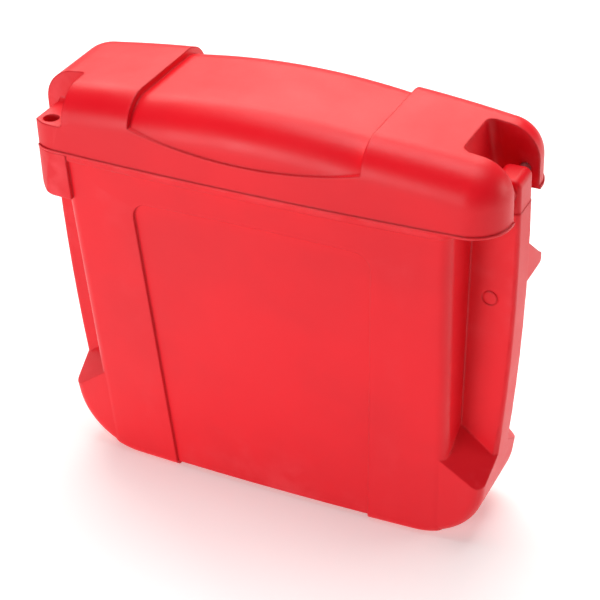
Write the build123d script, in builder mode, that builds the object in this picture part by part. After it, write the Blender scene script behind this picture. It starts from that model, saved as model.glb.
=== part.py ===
from build123d import *
import os

os.makedirs("parts", exist_ok=True)

# overall sizes, mm; origin on the ground under the centre of the body, +Z up, front toward -Y
splitZ = 280.0
wall = 3.0
# core: the wide bowed tub that holds the papers
coreTopX = 153.5
coreTopY = 58.5
coreFootX = 145.5
coreFootY = 41.0
coreBow = 3.5
coreCornerR = 9.0
footR = 7.0
# web: the slab at mid depth that sticks out past the core at both ends
webHalfY = 13.0
webTopX = 187.0
webMidX = 185.3
webLowX = 175.5
webLowZ = 58.0
webCornerR = 54.0
# lower bulge: full width again below a slanted facet
facetPeakZ = 225.0
facetSlopeX = 0.83
facetSlopeY = 0.68
slabEdgeR = 3.0
bulgeHalfX = 192.0
bulgeIn = 0.5
bulgeEdgeR = 9.0
# inset centre panel, front and back
panelDepth = 2.2
panelTopX = 95.0
panelFootX = 83.0
panelTopZ = 250.0
panelArch = 2.5
panelCornerR = 13.0
footStep = 4.5
# rim
rimBand = 1.5
rimHeight = 5.0
rimInset = 4.0
# rim lug and padlock hole at the left end
lugX = -161.5
lugY = -47.0
lugEndX = -171.6
lugInX = -146.0
dividerX = -153.6
lugProud = 2.8
lugDrop = 38.0
lugFootR = 11.0
shackleR = 6.0
# hinge post and pin at the right end
pivotX = 176.5
pivotZ = splitZ + 15.0
postInX = 166.0
postOutX = 186.7
postTopZ = splitZ + 25.0
postR = 6.0
postHalfY = 12.4
postRootZ = 8.0
postBossR = 7.0
postBossLen = 2.0
pinR = 4.0
pinHalf = 35.0
socketGap = 0.06
socketEndY = 36.5
socketR = 9.0
socketBackY = 41.0
# rear stand-off hooks
hookTipR = 3.0
hookInX = 176.0
hookOutY = 44.0
hookTopZ = splitZ - 34.0
hookTipZ = splitZ - 61.0
hookFootZ = splitZ - 68.5
# round knock-outs on the recess floors
knockX = 167.5
knockZ = splitZ - 71.0
knockR = 6.0
knockGroove = 0.8
# lid
lidGap = 0.4
lidZ = splitZ + lidGap
lidWall = 3.0
lidRightX = 187.0
lidLeftX = -182.0
lidY = 61.0
lidBow = 5.0
lidCornerR = 27.0
lidEndTop = 43.6
lidMidTop = 57.3
lidTopR = 26.0
beadOut = 1.0
beadHeight = 2.0
centreHalfX = 89.7
centreIn = 1.6
centreEndTop = 45.8
centreMidTop = 55.6
centreTopR = 27.0
middleBow = 1.8
smileZ = 21.5
smileEndZ = 33.0
notchInX = 156.5
notchTopX = 147.0
notchHalfY = 26.0
notchR = 7.0
pocketX = -146.0
pocketY = -19.0
pocketZ = 22.0
pocketR = 5.0
# seal
sealOutX = 152.6
sealOutY = 57.4
sealWide = 3.0
sealTop = 3.9
sealGap = 0.3
ledgeTall = 2.0
ledgeIn = 149.0


def webOutline(inset):
    """Front view of the slab, with its big bottom corners."""
    with BuildSketch(Plane.XZ) as outline:
        with BuildLine():
            foot = Line((-webLowX + 7.0, 0), (webLowX - 7.0, 0))
            right = Line(foot @ 1, (webLowX, webLowZ))
            rise = ThreePointArc(right @ 1, (webMidX, 180.0), (webTopX, splitZ))
            top = Line(rise @ 1, (-webTopX, splitZ))
            fall = ThreePointArc(top @ 1, (-webMidX, 180.0), (-webLowX, webLowZ))
            Line(fall @ 1, foot @ 0)
        make_face()
        fillet(outline.vertices().group_by(Axis.Y)[0], webCornerR)
        if inset > 0:
            offset(amount=-inset, mode=Mode.REPLACE)
    return outline.sketch


def bowedRect(halfX, halfY, bow, radius):
    """Rectangle whose long sides bulge outward."""
    with BuildSketch() as rect:
        with BuildLine():
            front = ThreePointArc((-halfX, bow - halfY), (0, -halfY), (halfX, bow - halfY))
            right = Line(front @ 1, (halfX, halfY - bow))
            back = ThreePointArc(right @ 1, (0, halfY), (-halfX, halfY - bow))
            Line(back @ 1, front @ 0)
        make_face()
        if radius > 0:
            fillet(rect.vertices(), radius)
    return rect.sketch


def coreSolid(inset, footZ, topZ):
    """Tapered tub, inset on every side."""
    with BuildPart() as core:
        for height in (footZ, topZ):
            share = height / splitZ
            halfX = coreFootX + (coreTopX - coreFootX) * share - inset
            halfY = coreFootY + (coreTopY - coreFootY) * share - inset
            with BuildSketch(Plane.XY.offset(height)):
                add(bowedRect(halfX, halfY, coreBow, max(coreCornerR - inset, 2.0)))
        loft()
        with BuildSketch(Plane.XZ):
            add(webOutline(inset))
        extrude(amount=100.0, both=True, mode=Mode.INTERSECT)
        if inset == 0:
            low = core.faces().sort_by(Axis.Z)[0].edges().sort_by(Axis.Y)
            fillet([low[0], low[-1]], footR)
    return core.part


def wideTub(grow):
    """The tub's front and back faces carried on past its ends."""
    with BuildPart() as wide:
        for height, halfX, halfY in ((0, coreFootX, coreFootY), (splitZ, coreTopX, coreTopY)):
            wideBow = coreBow * (bulgeHalfX / halfX) ** 2
            with BuildSketch(Plane.XY.offset(height)):
                add(bowedRect(bulgeHalfX, halfY + grow, wideBow, 0.0))
        loft()
    return wide.part


def lowerSolid(inset):
    """Full-width lower bulge under the slanted facets."""
    with BuildPart() as lower:
        add(wideTub(-bulgeIn - inset))
        with BuildSketch(Plane.XZ):
            add(webOutline(inset))
        extrude(amount=100.0, both=True, mode=Mode.INTERSECT)
        if inset == 0:
            ends = lower.faces().sort_by(Axis.Y)
            rim = ends[0].edges() + ends[-1].edges()
            fillet(rim.filter_by_position(Axis.Z, -1.0, splitZ - 1.0), bulgeEdgeR)
        peak = facetPeakZ - inset * 1.467
        with BuildSketch(Plane.XY):
            with BuildLine():
                Polyline(
                    (-peak / facetSlopeX, 0),
                    (0, -peak / facetSlopeY),
                    (peak / facetSlopeX, 0),
                    (0, peak / facetSlopeY),
                    close=True,
                )
            make_face()
        with BuildSketch(Plane.XY.offset(peak - 10.0)):
            with BuildLine():
                Polyline(
                    (-10.0 / facetSlopeX, 0),
                    (0, -10.0 / facetSlopeY),
                    (10.0 / facetSlopeX, 0),
                    (0, 10.0 / facetSlopeY),
                    close=True,
                )
            make_face()
        loft(mode=Mode.INTERSECT)
    return lower.part


def webSolid(inset, topZ):
    """The slab itself."""
    with BuildPart() as web:
        with BuildSketch(Plane.XZ):
            add(webOutline(inset))
        extrude(amount=webHalfY - inset, both=True)
        if inset == 0:
            ends = web.faces().sort_by(Axis.Y)
            rim = ends[0].edges() + ends[-1].edges()
            fillet(rim.filter_by_position(Axis.Z, -1.0, splitZ - 1.0), slabEdgeR)
        with BuildSketch(Plane.XY.offset(topZ)):
            Rectangle(500.0, 200.0)
        extrude(amount=50.0, mode=Mode.SUBTRACT)
    return web.part


def panelPrism(grow):
    """Front view of the inset panel pushed right through."""
    with BuildPart() as prism:
        with BuildSketch(Plane.XZ) as face:
            with BuildLine():
                top = ThreePointArc(
                    (-panelTopX - grow, panelTopZ + grow),
                    (0, panelTopZ + panelArch + grow),
                    (panelTopX + grow, panelTopZ + grow),
                )
                right = Line(top @ 1, (panelFootX + grow, -5.0))
                foot = Line(right @ 1, (-panelFootX - grow, -5.0))
                Line(foot @ 1, top @ 0)
            make_face()
            fillet(face.vertices().group_by(Axis.Y)[-1], panelCornerR)
        extrude(amount=100.0, both=True)
    return prism.part



def lidPlan(inset):
    """Plan of the lid: bowed long sides and round corners."""
    with BuildSketch() as plan:
        with BuildLine():
            front = ThreePointArc((lidLeftX, lidBow - lidY), (0, -lidY), (lidRightX, lidBow - lidY))
            right = Line(front @ 1, (lidRightX, lidY - lidBow))
            back = ThreePointArc(right @ 1, (0, lidY), (lidLeftX, lidY - lidBow))
            Line(back @ 1, front @ 0)
        make_face()
        fillet(plan.vertices(), lidCornerR)
        if inset != 0:
            offset(amount=-inset, mode=Mode.REPLACE)
    return plan.sketch


def lidForm(inset, base):
    """Crowned cap with a rolled top edge; base is how far it reaches below the lid's own foot."""
    with BuildPart() as form:
        with BuildSketch(Plane.XY.offset(lidZ - base)):
            add(lidPlan(inset))
        extrude(amount=90.0)
        with BuildSketch(Plane.XZ):
            with BuildLine():
                crown = ThreePointArc(
                    (-lidRightX, lidZ + lidEndTop - inset),
                    (0, lidZ + lidMidTop - inset),
                    (lidRightX, lidZ + lidEndTop - inset),
                )
                Polyline(crown @ 1, (lidRightX, lidZ - 20.0), (-lidRightX, lidZ - 20.0), crown @ 0)
            make_face()
        extrude(amount=100.0, both=True, mode=Mode.INTERSECT)
        fillet(form.faces().sort_by(Axis.Z)[-1].edges(), lidTopR - inset)
    return form.part


def middleForm(inset, base):
    """The lower crowned middle, a little narrower front to back."""
    halfX = centreHalfX + 20.0
    with BuildPart() as form:
        with BuildSketch(Plane.XY.offset(lidZ - base)):
            add(bowedRect(halfX, lidY - centreIn - inset, middleBow, 0.0))
        extrude(amount=90.0)
        with BuildSketch(Plane.XZ):
            with BuildLine():
                crown = ThreePointArc(
                    (-halfX, lidZ + centreEndTop - inset),
                    (0, lidZ + centreMidTop - inset),
                    (halfX, lidZ + centreEndTop - inset),
                )
                Polyline(crown @ 1, (halfX, lidZ - 20.0), (-halfX, lidZ - 20.0), crown @ 0)
            make_face()
        extrude(amount=100.0, both=True, mode=Mode.INTERSECT)
        crownEdges = form.faces().sort_by(Axis.Z)[-1].edges().sort_by(Axis.Y)
        fillet([crownEdges[0], crownEdges[-1]], centreTopR - inset)
    return form.part


def centrePrism(grow):
    """Front view of the lowered middle section."""
    with BuildPart() as prism:
        with BuildSketch(Plane.XZ) as face:
            with BuildLine():
                smile = ThreePointArc(
                    (-centreHalfX - grow, lidZ + smileEndZ - grow),
                    (0, lidZ + smileZ - grow),
                    (centreHalfX + grow, lidZ + smileEndZ - grow),
                )
                Polyline(smile @ 1, (centreHalfX + grow, lidZ + 90.0), (-centreHalfX - grow, lidZ + 90.0), smile @ 0)
            make_face()
            fillet(face.vertices().group_by(Axis.Y)[1], 9.0)
        extrude(amount=100.0, both=True)
    return prism.part


def notchSolid(grow):
    """Open slot in the right end that straddles the post."""
    with BuildPart() as notch:
        for height, inX in ((-12.0, notchInX + 1.5), (75.0, notchTopX - 2.0)):
            with BuildSketch(Plane.XY.offset(lidZ + height)):
                with Locations(((inX - grow + 230.0) / 2, 0)):
                    RectangleRounded(230.0 - inX + grow, 2 * (notchHalfY + grow), notchR + grow)
        loft()
    return notch.part


def pocketSolid(grow):
    """Corner pocket above the padlock lug."""
    with BuildPart() as pocket:
        with BuildSketch(Plane.XY.offset(lidZ + pocketZ - grow)):
            with Locations(((pocketX + grow - 230.0) / 2, (pocketY + grow - 100.0) / 2)):
                RectangleRounded(230.0 + pocketX + grow, 100.0 + pocketY + grow, pocketR)
        extrude(amount=90.0)
        fillet(pocket.faces().sort_by(Axis.Z)[0].edges(), pocketR - 1.0)
    return pocket.part


def hollowed(inset, base):
    """Lid body at a given inset, with the middle, the notch and the pocket taken out."""
    solid = lidForm(inset, base)
    middle = centrePrism(inset) - middleForm(inset, base)
    return solid - middle - notchSolid(inset) - pocketSolid(inset)


coreOuter = coreSolid(0.0, 0.0, splitZ)
panelStep = panelPrism(0.0) - coreSolid(panelDepth, footStep, splitZ)
panelBack = panelPrism(wall) & (coreSolid(panelDepth, footStep, splitZ - 12.0) & coreOuter)
panelPlate = panelBack - coreSolid(panelDepth + wall, footStep + wall, splitZ)
lidShell = hollowed(0.0, 0.0)
lidHollow = hollowed(lidWall, 5.0)

# pieces of the lid's inside, each trimmed to the lid's own outside
with BuildPart() as dividerBlock:
    for wallX in (notchInX - lidWall / 2, dividerX - lidWall / 2):
        with Locations((wallX, 0, lidZ + 40.0)):
            Box(lidWall, 200.0, 80.0)
dividers = dividerBlock.part & lidShell
with BuildPart() as ledgeRing:
    with BuildSketch(Plane.XY.offset(splitZ + sealTop)):
        Rectangle(2 * notchInX, 200.0)
        add(bowedRect(ledgeIn, sealOutY - sealWide - 0.6, coreBow, coreCornerR - sealWide), mode=Mode.SUBTRACT)
    extrude(amount=ledgeTall)
seatLedge = ledgeRing.part & lidShell
with BuildPart() as lugBlock:
    with Locations((dividerX - 15.0, pocketY - 30.0, lidZ + pocketZ / 2)):
        Box(30.0, 80.0, pocketZ)
lugCore = lugBlock.part & lidShell
with BuildPart() as socketBars:
    for side in (-1, 1):
        with BuildSketch(Plane.XZ.offset(-side * (notchHalfY + 1.0))):
            with Locations((pivotX, pivotZ)):
                Circle(socketR)
        extrude(amount=-side * (socketBackY - notchHalfY - 1.0))
socketBlocks = socketBars.part & lidShell

with BuildPart() as postBlock:
    with BuildSketch(Plane.XZ) as postFace:
        with Locations(((postInX + postOutX) / 2, (splitZ - postRootZ + postTopZ) / 2)):
            Rectangle(postOutX - postInX, postTopZ - splitZ + postRootZ)
        fillet(postFace.vertices().group_by(Axis.Y)[-1], postR)
    extrude(amount=postHalfY, both=True)
    postEnds = postBlock.faces().sort_by(Axis.Y)
    postRims = postEnds[0].edges() + postEnds[-1].edges()
    fillet(postRims.filter_by_position(Axis.Z, splitZ - postRootZ + 1.0, postTopZ + 1.0), slabEdgeR)

with BuildPart() as rimLug:
    with BuildSketch(Plane.XY.offset(splitZ - lugDrop)):
        add(lidPlan(-0.4))
        with Locations(((lugEndX - 0.4 + lugInX) / 2, -webHalfY - 30.0)):
            Rectangle(lugInX - lugEndX + 0.4, 60.0, mode=Mode.INTERSECT)
    extrude(amount=lugDrop)
    fillet(rimLug.edges().group_by(Axis.Z)[0].sort_by(Axis.X)[0], lugFootR)
    add(wideTub(lugProud), mode=Mode.INTERSECT)

with BuildPart() as body:
    add(coreOuter)
    add(webSolid(0.0, splitZ))
    add(lowerSolid(0.0))
    # rim band around the mouth
    with BuildSketch(Plane.XY.offset(splitZ - rimHeight)):
        add(bowedRect(coreTopX + rimBand, coreTopY + rimBand, coreBow, coreCornerR + rimBand))
    extrude(amount=rimHeight)
    add(rimLug)
    add(postBlock)
    # rear stand-off hooks
    for side in (-1, 1):
        with BuildSketch(Plane.YZ.offset(side * hookInX)) as hookFace:
            with BuildLine():
                Polyline(
                    (webHalfY - 2.0, hookTopZ),
                    (hookOutY - 6.0, hookTipZ + 4.0),
                    (hookOutY, hookTipZ),
                    (hookOutY, hookFootZ),
                    (webHalfY - 2.0, hookFootZ),
                    close=True,
                )
            make_face()
            fillet(hookFace.vertices().group_by(Axis.X)[-1], hookTipR)
        extrude(amount=side * (webMidX - hookInX))
    # hollow, with closed decks over the slab ends
    add(coreSolid(wall, wall, splitZ - rimHeight), mode=Mode.SUBTRACT)
    add(webSolid(wall, splitZ - wall - postR), mode=Mode.SUBTRACT)
    add(lowerSolid(wall), mode=Mode.SUBTRACT)
    with BuildSketch(Plane.XY.offset(splitZ - 2 * rimHeight)):
        add(bowedRect(coreTopX - rimInset, coreTopY - rimInset, coreBow, coreCornerR - rimInset))
    extrude(amount=3 * rimHeight, mode=Mode.SUBTRACT)
    # inset panel, front and back, running out under the foot
    add(panelStep, mode=Mode.SUBTRACT)
    add(panelPlate)
    # bosses on the post and the bore through it
    with BuildSketch(Plane.XZ):
        with Locations((pivotX, pivotZ)):
            Circle(postBossR)
    extrude(amount=webHalfY + postBossLen, both=True)
    with BuildSketch(Plane.XZ):
        with Locations((pivotX, pivotZ)):
            Circle(pinR)
    extrude(amount=webHalfY + 2 * postBossLen, both=True, mode=Mode.SUBTRACT)
    # padlock hole
    with BuildSketch(Plane.XY.offset(splitZ - lugDrop - 1.0)):
        with Locations((lugX, lugY)):
            Circle(shackleR)
    extrude(amount=lugDrop + 2.0, mode=Mode.SUBTRACT)
    # knock-out rings on the recess floors
    for side in (-1, 1):
        for end in (-1, 1):
            floor = Plane(origin=(end * knockX, side * webHalfY, knockZ), x_dir=(1, 0, 0), z_dir=(0, side, 0))
            with BuildSketch(floor):
                Circle(knockR)
                Circle(knockR - knockGroove, mode=Mode.SUBTRACT)
            extrude(amount=-knockGroove, mode=Mode.SUBTRACT)
body.part.label = "body"

with BuildPart() as lid:
    add(lidShell)
    add(lidHollow, mode=Mode.SUBTRACT)
    # bead along the foot, dividing walls over the rim ends, seal ledge
    with BuildSketch(Plane.XY.offset(lidZ)):
        add(lidPlan(-beadOut))
        add(lidPlan(lidWall), mode=Mode.SUBTRACT)
        with Locations(((notchInX + 230.0) / 2, 0)):
            Rectangle(230.0 - notchInX, 2 * notchHalfY, mode=Mode.SUBTRACT)
    extrude(amount=beadHeight)
    add(dividers)
    add(seatLedge)
    # solid lug with its padlock hole
    add(lugCore)
    with BuildSketch(Plane.XY.offset(lidZ - 1.0)):
        with Locations((lugX, lugY)):
            Circle(shackleR)
    extrude(amount=pocketZ + 2.0, mode=Mode.SUBTRACT)
    # trim the left front corner back to the lug
    with BuildSketch(Plane.XY.offset(lidZ - 1.0)):
        with Locations(((lugEndX - 230.0) / 2, (pocketY - 100.0) / 2)):
            Rectangle(230.0 + lugEndX, 100.0 + pocketY)
    extrude(amount=90.0, mode=Mode.SUBTRACT)
    # blind sockets for the pin
    add(socketBlocks)
    for side in (-1, 1):
        with BuildSketch(Plane.XZ.offset(-side * (notchHalfY - 1.0))):
            with Locations((pivotX, pivotZ)):
                Circle(pinR + socketGap)
        extrude(amount=-side * (socketEndY - notchHalfY + 1.0), mode=Mode.SUBTRACT)
lid.part.label = "lid"

with BuildPart() as pin:
    with BuildSketch(Plane.XZ):
        with Locations((pivotX, pivotZ)):
            Circle(pinR)
    extrude(amount=pinHalf, both=True)
    chamfer(pin.edges().filter_by(GeomType.CIRCLE), 0.8)
pin.part.label = "hinge_pin"

with BuildPart() as seal:
    with BuildSketch(Plane.XY.offset(splitZ + sealGap)):
        add(bowedRect(sealOutX, sealOutY, coreBow, coreCornerR))
        add(bowedRect(sealOutX - sealWide, sealOutY - sealWide, coreBow, coreCornerR - sealWide), mode=Mode.SUBTRACT)
    extrude(amount=sealTop - sealGap)
seal.part.label = "lid_seal"

export_step(body.part, "parts/body.step")
export_step(lid.part, "parts/lid.step")
export_step(pin.part, "parts/hinge_pin.step")
export_step(seal.part, "parts/lid_seal.step")
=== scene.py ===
import math

import bpy
import bmesh
from mathutils import Euler, Matrix, Vector

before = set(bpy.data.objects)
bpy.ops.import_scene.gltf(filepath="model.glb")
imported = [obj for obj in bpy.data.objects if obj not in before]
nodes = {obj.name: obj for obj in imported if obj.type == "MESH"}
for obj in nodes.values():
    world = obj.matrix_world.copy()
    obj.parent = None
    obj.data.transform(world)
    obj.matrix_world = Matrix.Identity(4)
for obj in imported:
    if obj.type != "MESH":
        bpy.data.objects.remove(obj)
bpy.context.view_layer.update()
scene = bpy.context.scene
print("frame loaded:", ", ".join(sorted(nodes)))


def newMaterial(name):
    material = bpy.data.materials.new(name)
    material.use_nodes = True
    tree = material.node_tree
    return material, tree, tree.nodes["Principled BSDF"]


def addNode(tree, kind, **values):
    node = tree.nodes.new(kind)
    for key, value in values.items():
        setattr(node, key, value)
    return node


def objectPlace(tree):
    return addNode(tree, "ShaderNodeTexCoord").outputs["Object"]


def noiseOn(tree, vector, scale, detail, roughness=0.5):
    noise = addNode(tree, "ShaderNodeTexNoise")
    noise.inputs["Scale"].default_value = scale
    noise.inputs["Detail"].default_value = detail
    noise.inputs["Roughness"].default_value = roughness
    tree.links.new(vector, noise.inputs["Vector"])
    return noise.outputs["Fac"]


def mapRange(tree, value, fromRange, toRange, smooth=False):
    node = addNode(tree, "ShaderNodeMapRange")
    node.interpolation_type = "SMOOTHSTEP" if smooth else "LINEAR"
    tree.links.new(value, node.inputs["Value"])
    limits = zip(("From Min", "From Max", "To Min", "To Max"), (*fromRange, *toRange))
    for socket, number in limits:
        node.inputs[socket].default_value = number
    return node.outputs["Result"]


def multiply(tree, first, second):
    node = addNode(tree, "ShaderNodeMath", operation="MULTIPLY")
    tree.links.new(first, node.inputs[0])
    tree.links.new(second, node.inputs[1])
    return node.outputs["Value"]


def mixColours(tree, factor, first, second):
    node = addNode(tree, "ShaderNodeMix", data_type="RGBA")
    tree.links.new(factor, node.inputs["Factor"])
    for socket, colour in (("A", first), ("B", second)):
        target = [i for i in node.inputs if i.name == socket and i.type == "RGBA"][0]
        if isinstance(colour, tuple):
            target.default_value = (*colour, 1)
        else:
            tree.links.new(colour, target)
    return [o for o in node.outputs if o.type == "RGBA"][0]


def bumpOn(tree, height, strength, distance, normal=None):
    bump = addNode(tree, "ShaderNodeBump")
    bump.inputs["Strength"].default_value = strength
    bump.inputs["Distance"].default_value = distance
    tree.links.new(height, bump.inputs["Height"])
    if normal is not None:
        tree.links.new(normal, bump.inputs["Normal"])
    return bump.outputs["Normal"]


# moulded red polyethylene: grain over orange peel, faint flow mottling, pale speckle, and convex
# edges made paler as a painted highlight
moulding = {
    "red": (0.84, 0.0045, 0.014),
    "deepRed": (0.70, 0.004, 0.013),
    # pale colour for the speckle and for the painted edge highlight
    "speckleAndEdgeHighlight": (0.88, 0.060, 0.075),
    "flowScale": 9.0,
    "flowDetail": 3.0,
    "flowRange": (0.35, 0.65),
    "flowDepth": 0.55,
    "speckleShare": 0.6,
    "speckleDetail": 2.0,
    "speckleRange": (0.62, 0.75),
    "speckleDepth": 0.10,
    # painted highlight on convex edges, broken into noise patches
    "edgeHighlightRange": (0.52, 0.60),
    "edgeHighlightDepth": 0.5,
    "edgeHighlightPatchScale": 60.0,
    "edgeHighlightPatchDetail": 4.0,
    "edgeHighlightPatchRange": (0.40, 0.62),
    "smearScale": 22.0,
    "smearDetail": 4.0,
    "smearRoughness": 0.6,
    "smearRange": (0.3, 0.7),
    "roughness": 0.40,
    "glossier": 0.04,
    "duller": 0.07,
    "specular": 0.32,
    "grainScale": 1500.0,
    "grainDetail": 3.0,
    "grainRoughness": 0.6,
    "grainStrength": 0.55,
    "grainHeight": 0.00010,
    "orangePeelScale": 210.0,
    "orangePeelDetail": 2.0,
    "orangePeelStrength": 0.35,
    "orangePeelHeight": 0.00007,
    "edgeRadius": 0.0022,
    "edgeSamples": 6,
    "bodyGrain": 0.6,
    "lidGrain": 1.0,
}


def mouldedColour(tree, place, settings, grain):
    flow = noiseOn(tree, place, settings["flowScale"], settings["flowDetail"])
    flowMix = mapRange(tree, flow, settings["flowRange"], (0.0, settings["flowDepth"]), True)
    colour = mixColours(tree, flowMix, settings["red"], settings["deepRed"])
    speckleScale = settings["grainScale"] * settings["speckleShare"]
    speckle = noiseOn(tree, place, speckleScale, settings["speckleDetail"])
    speckleDepth = settings["speckleDepth"] * grain
    speckleMix = mapRange(tree, speckle, settings["speckleRange"], (0.0, speckleDepth))
    colour = mixColours(tree, speckleMix, colour, settings["speckleAndEdgeHighlight"])
    # painted highlight: convex edges (by pointiness) go a little paler, in noise patches
    corner = addNode(tree, "ShaderNodeNewGeometry").outputs["Pointiness"]
    paintedEdgeHighlight = mapRange(tree, corner, settings["edgeHighlightRange"], (0.0, settings["edgeHighlightDepth"]))
    patches = noiseOn(tree, place, settings["edgeHighlightPatchScale"], settings["edgeHighlightPatchDetail"])
    paintedEdgeHighlight = multiply(tree, paintedEdgeHighlight, mapRange(tree, patches, settings["edgeHighlightPatchRange"], (0.0, 1.0)))
    return mixColours(tree, paintedEdgeHighlight, colour, settings["speckleAndEdgeHighlight"])


def mouldedRelief(tree, place, settings, grain):
    eased = addNode(tree, "ShaderNodeBevel", samples=settings["edgeSamples"])
    eased.inputs["Radius"].default_value = settings["edgeRadius"]
    peel = noiseOn(tree, place, settings["orangePeelScale"], settings["orangePeelDetail"])
    normal = bumpOn(tree, peel, settings["orangePeelStrength"], settings["orangePeelHeight"],
                    eased.outputs["Normal"])
    fine = noiseOn(tree, place, settings["grainScale"], settings["grainDetail"],
                   settings["grainRoughness"])
    return bumpOn(tree, fine, settings["grainStrength"] * grain, settings["grainHeight"], normal)


def makeMoulding(name, settings, grain):
    material, tree, shader = newMaterial(name)
    place = objectPlace(tree)
    tree.links.new(mouldedColour(tree, place, settings, grain), shader.inputs["Base Color"])
    # gloss varies with handling
    smear = noiseOn(tree, place, settings["smearScale"], settings["smearDetail"],
                    settings["smearRoughness"])
    limits = (settings["roughness"] - settings["glossier"],
              settings["roughness"] + settings["duller"])
    gloss = mapRange(tree, smear, settings["smearRange"], limits)
    tree.links.new(gloss, shader.inputs["Roughness"])
    shader.inputs["Specular IOR Level"].default_value = settings["specular"]
    tree.links.new(mouldedRelief(tree, place, settings, grain), shader.inputs["Normal"])
    return material


# turned steel of the hinge pin
steel = {
    "bright": (0.62, 0.62, 0.64),
    "dull": (0.45, 0.45, 0.47),
    "roughness": 0.28,
    "rougher": 0.15,
    "stretch": (1.0, 40.0, 1.0),
    "lineScale": 90.0,
    "lineDetail": 3.0,
    "lineRange": (0.3, 0.7),
}


def makeSteel(name, settings):
    material, tree, shader = newMaterial(name)
    stretch = addNode(tree, "ShaderNodeMapping")
    stretch.inputs["Scale"].default_value = settings["stretch"]
    tree.links.new(objectPlace(tree), stretch.inputs["Vector"])
    lines = noiseOn(tree, stretch.outputs["Vector"], settings["lineScale"],
                    settings["lineDetail"])
    shader.inputs["Metallic"].default_value = 1.0
    toneMix = mapRange(tree, lines, settings["lineRange"], (0.0, 1.0))
    tone = mixColours(tree, toneMix, settings["bright"], settings["dull"])
    tree.links.new(tone, shader.inputs["Base Color"])
    limits = (settings["roughness"], settings["roughness"] + settings["rougher"])
    polish = mapRange(tree, lines, settings["lineRange"], limits)
    tree.links.new(polish, shader.inputs["Roughness"])
    return material


# black rubber of the lid seal
rubber = {
    "black": (0.018, 0.018, 0.019),
    "dusty": (0.06, 0.058, 0.055),
    "dustScale": 70.0,
    "dustDetail": 4.0,
    "dustRoughness": 0.6,
    "dustRange": (0.5, 0.8),
    "dustDepth": 0.5,
    "roughness": 0.62,
    "glossier": 0.08,
    "duller": 0.1,
    "shineRange": (0.3, 0.7),
    "poreScale": 900.0,
    "poreDetail": 3.0,
    "poreStrength": 0.4,
    "poreHeight": 0.0001,
}


def makeRubber(name, settings):
    material, tree, shader = newMaterial(name)
    place = objectPlace(tree)
    dust = noiseOn(tree, place, settings["dustScale"], settings["dustDetail"],
                   settings["dustRoughness"])
    toneMix = mapRange(tree, dust, settings["dustRange"], (0.0, settings["dustDepth"]))
    tone = mixColours(tree, toneMix, settings["black"], settings["dusty"])
    tree.links.new(tone, shader.inputs["Base Color"])
    limits = (settings["roughness"] - settings["glossier"],
              settings["roughness"] + settings["duller"])
    shine = mapRange(tree, dust, settings["shineRange"], limits)
    tree.links.new(shine, shader.inputs["Roughness"])
    pores = noiseOn(tree, place, settings["poreScale"], settings["poreDetail"])
    relief = bumpOn(tree, pores, settings["poreStrength"], settings["poreHeight"])
    tree.links.new(relief, shader.inputs["Normal"])
    return material


def dress(node, material):
    nodes[node].data.materials.clear()
    nodes[node].data.materials.append(material)


dress("body", makeMoulding("tub_red", moulding, moulding["bodyGrain"]))
dress("lid", makeMoulding("lid_red", moulding, moulding["lidGrain"]))
dress("hinge_pin", makeSteel("pin_steel", steel))
dress("lid_seal", makeRubber("seal_rubber", rubber))
print("materials done")


# studio: camera, floor and lights
studio = {
    "aim": (0.0, 0.0238, 0.143),
    "azimuth": 26.75,
    "elevation": 32.91,
    "roll": -2.07,
    "distance": 1.382,
    "viewAngle": 19.02,
    "nearest": 0.01,
    "airStrength": 0.12,
}


def placeCamera(settings):
    data = bpy.data.cameras.new("camera")
    data.sensor_fit = "HORIZONTAL"
    data.angle = math.radians(settings["viewAngle"])
    data.clip_start = settings["nearest"]
    camera = bpy.data.objects.new("camera", data)
    scene.collection.objects.link(camera)
    tilt = math.radians(90 - settings["elevation"])
    turn = Euler((tilt, 0, math.radians(settings["azimuth"]))).to_matrix()
    turn = turn @ Matrix.Rotation(math.radians(settings["roll"]), 3, "Z")
    away = settings["distance"] * (turn @ Vector((0, 0, 1)))
    camera.location = Vector(settings["aim"]) + away
    camera.rotation_euler = turn.to_euler()
    scene.camera = camera


# pale floor, lit a little from within so that the backdrop stays white
paleFloor = {
    "size": 8.0,
    "colour": (0.92, 0.92, 0.92),
    "roughness": 0.9,
    "specular": 0.1,
    "glow": 0.30,
}


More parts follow.
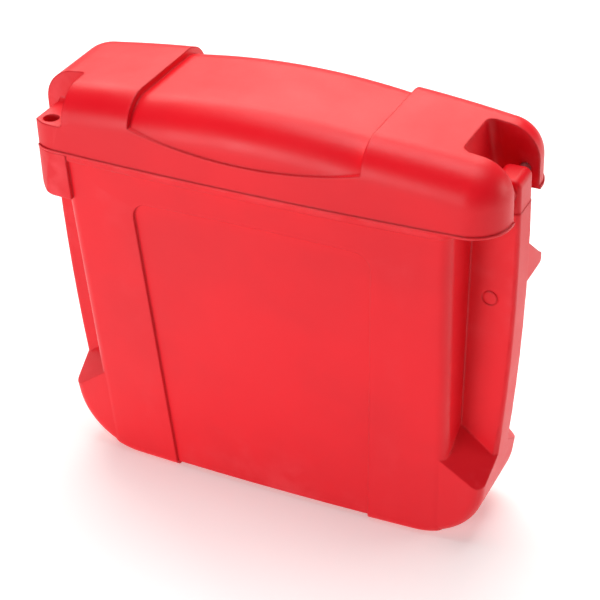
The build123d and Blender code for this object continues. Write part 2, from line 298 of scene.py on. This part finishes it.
def layFloor(settings):
    mesh = bpy.data.meshes.new("floor")
    shape = bmesh.new()
    bmesh.ops.create_grid(shape, x_segments=1, y_segments=1, size=settings["size"] / 2)
    shape.to_mesh(mesh)
    shape.free()
    floor = bpy.data.objects.new("floor", mesh)
    scene.collection.objects.link(floor)
    material, tree, shader = newMaterial("pale_floor")
    shader.inputs["Base Color"].default_value = (*settings["colour"], 1)
    shader.inputs["Roughness"].default_value = settings["roughness"]
    shader.inputs["Specular IOR Level"].default_value = settings["specular"]
    shader.inputs["Emission Color"].default_value = (1, 1, 1, 1)
    shader.inputs["Emission Strength"].default_value = settings["glow"]
    mesh.materials.append(material)


# soft rectangular lights, in metres and watts
lamps = {
    "back_light": {
        "place": (-0.9, 1.7, 1.75), "target": (0, 0, 0.25),
        "size": (2.6, 1.5), "power": 44, "colour": (1.0, 0.93, 0.86),
    },
    "top_light": {
        "place": (0.0, 0.2, 2.1), "target": (0, 0, 0.2),
        "size": (1.5, 1.1), "power": 28, "colour": (1, 1, 1),
    },
    "front_light": {
        "place": (-0.9, -2.2, 0.5), "target": (0, 0, 0.15),
        "size": (1.2, 0.8), "power": 27, "colour": (1, 1, 1),
    },
    "side_light": {
        "place": (2.0, 1.1, 0.55), "target": (0.15, 0, 0.2),
        "size": (1.0, 0.8), "power": 13, "colour": (1.0, 0.95, 0.9),
    },
}


def softLight(name, settings):
    data = bpy.data.lights.new(name, "AREA")
    data.shape = "RECTANGLE"
    data.size, data.size_y = settings["size"]
    data.energy = settings["power"]
    data.color = settings["colour"]
    lamp = bpy.data.objects.new(name, data)
    lamp.location = settings["place"]
    beam = Vector(settings["target"]) - Vector(settings["place"])
    lamp.rotation_euler = beam.to_track_quat("-Z", "Y").to_euler()
    scene.collection.objects.link(lamp)


placeCamera(studio)
layFloor(paleFloor)
for name, settings in lamps.items():
    softLight(name, settings)
world = bpy.data.worlds.new("studio_air")
world.use_nodes = True
air = world.node_tree.nodes["Background"]
air.inputs["Color"].default_value = (1, 1, 1, 1)
air.inputs["Strength"].default_value = studio["airStrength"]
scene.world = world
scene.view_settings.view_transform = "Standard"
scene.view_settings.look = "None"
print("studio done")
